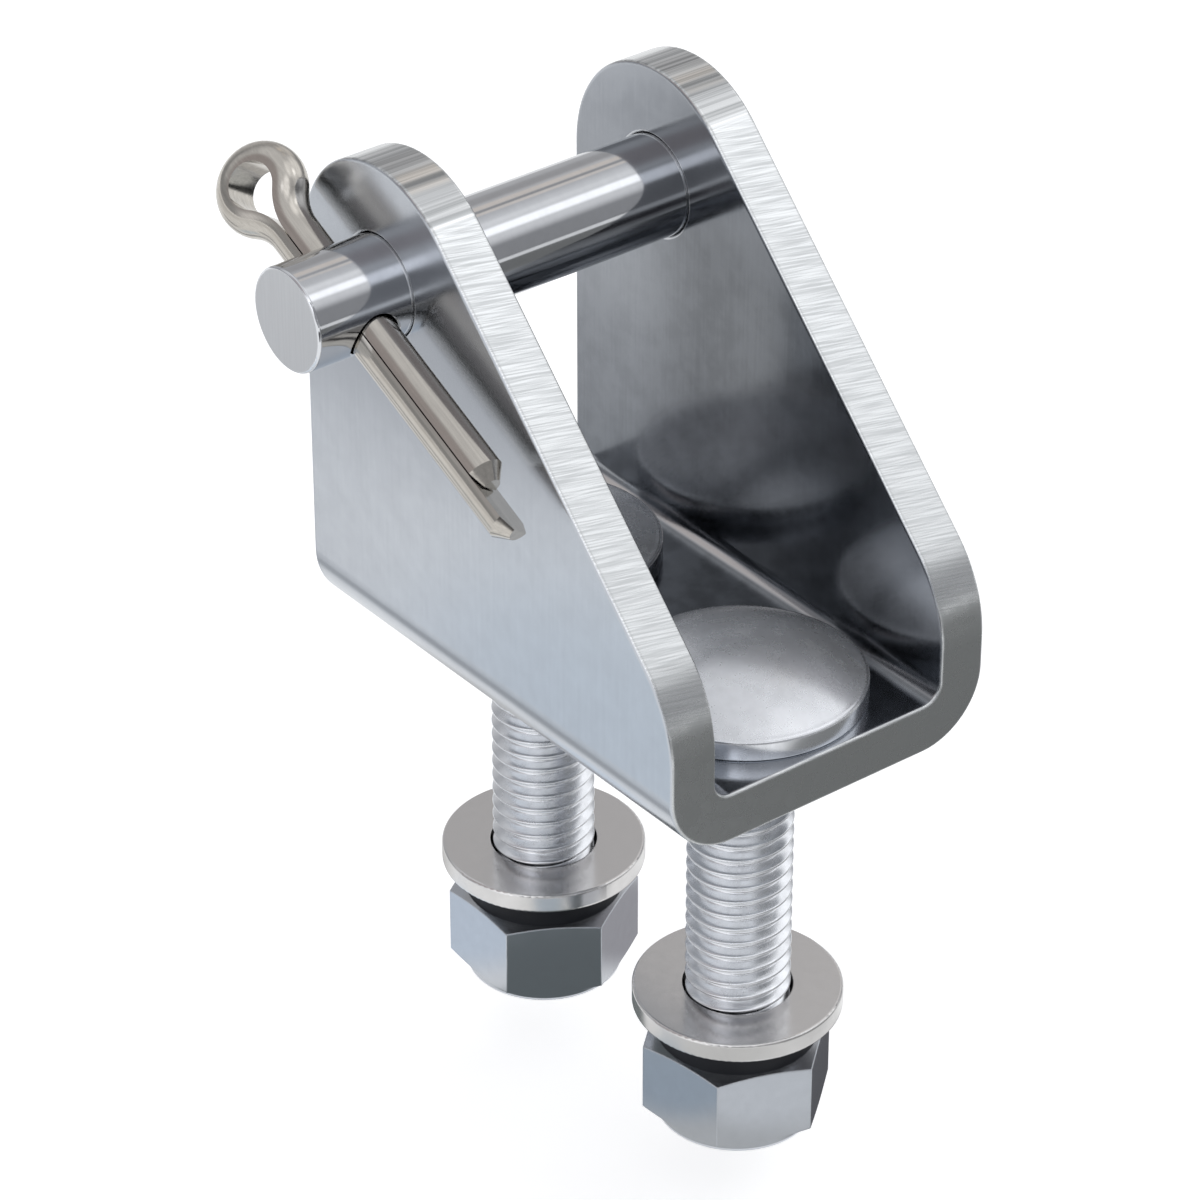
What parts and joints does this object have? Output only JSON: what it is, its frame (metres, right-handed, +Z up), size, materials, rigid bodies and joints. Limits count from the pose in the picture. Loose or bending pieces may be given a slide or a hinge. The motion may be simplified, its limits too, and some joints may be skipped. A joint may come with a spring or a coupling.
{
  "type": "actuator mounting bracket",
  "caption": "Folded steel clevis bracket with a clevis pin and split pin, bolted down by cup head bolts with washers and lock nuts.",
  "frame": {"origin": "underside of the base, midway between the two bolts", "axes": "+Z up from the base to the ears, +X along the channel towards its low open front, +Y along the clevis pin towards its head"},
  "size_m": [0.0469, 0.0393, 0.0755],
  "materials": {
    "bracket_zinc": "satin zinc plated sheet",
    "pin_steel": "polished turned steel",
    "split_pin_wire": "bright drawn wire",
    "bolt_zinc": "zinc plated, satin",
    "washer_zinc": "zinc plated, satin",
    "nut_zinc": "zinc plated, satin",
    "ring_nylon": "black nylon"
  },
  "bodies": {
    "bracket": {"bracket": "bracket_zinc", "bolt_front": "bolt_zinc", "bolt_rear": "bolt_zinc"},
    "pin": {"clevis_pin": "pin_steel"},
    "split_pin": {"split_pin": "split_pin_wire"},
    "washer_front": {"washer_front": "washer_zinc"},
    "nut_front": {"nut_front": "nut_zinc", "nut_ring_front": "ring_nylon"},
    "washer_rear": {"washer_rear": "washer_zinc"},
    "nut_rear": {"nut_rear": "nut_zinc", "nut_ring_rear": "ring_nylon"}
  },
  "joints": [
    {"name": "pin_turn", "type": "hinge", "parent": "bracket", "child": "pin", "pos_m": [-0.01175, 0, 0.0322], "axis": [0, 1, 0], "continuous": true},
    {"name": "split_pin_slide", "type": "slide", "parent": "pin", "child": "split_pin", "axis": [-0.9078, 0, 0.4195], "range_m": [-0.0037, 0.02655]},
    {"name": "washer_front_slide", "type": "slide", "parent": "bracket", "child": "washer_front", "axis": [0, 0, 1], "range_m": [-0.00701, 0.0223]},
    {"name": "nut_front_turn", "type": "hinge", "parent": "washer_front", "child": "nut_front", "pos_m": [0.012, 0, -0.0302], "axis": [0, 0, 1], "range_deg": [-2016, 6419.5]},
    {"name": "washer_rear_slide", "type": "slide", "parent": "bracket", "child": "washer_rear", "axis": [0, 0, 1], "range_m": [-0.00701, 0.0223]},
    {"name": "nut_rear_turn", "type": "hinge", "parent": "washer_rear", "child": "nut_rear", "pos_m": [-0.012, 0, -0.0302], "axis": [0, 0, 1], "range_deg": [-2016, 6419.5]}
  ],
  "couplings": [
    {"joint": "washer_front_slide", "follows": "nut_front_turn", "m_per_rad": 0.00019894},
    {"joint": "washer_rear_slide", "follows": "nut_rear_turn", "m_per_rad": 0.00019894}
  ]
}
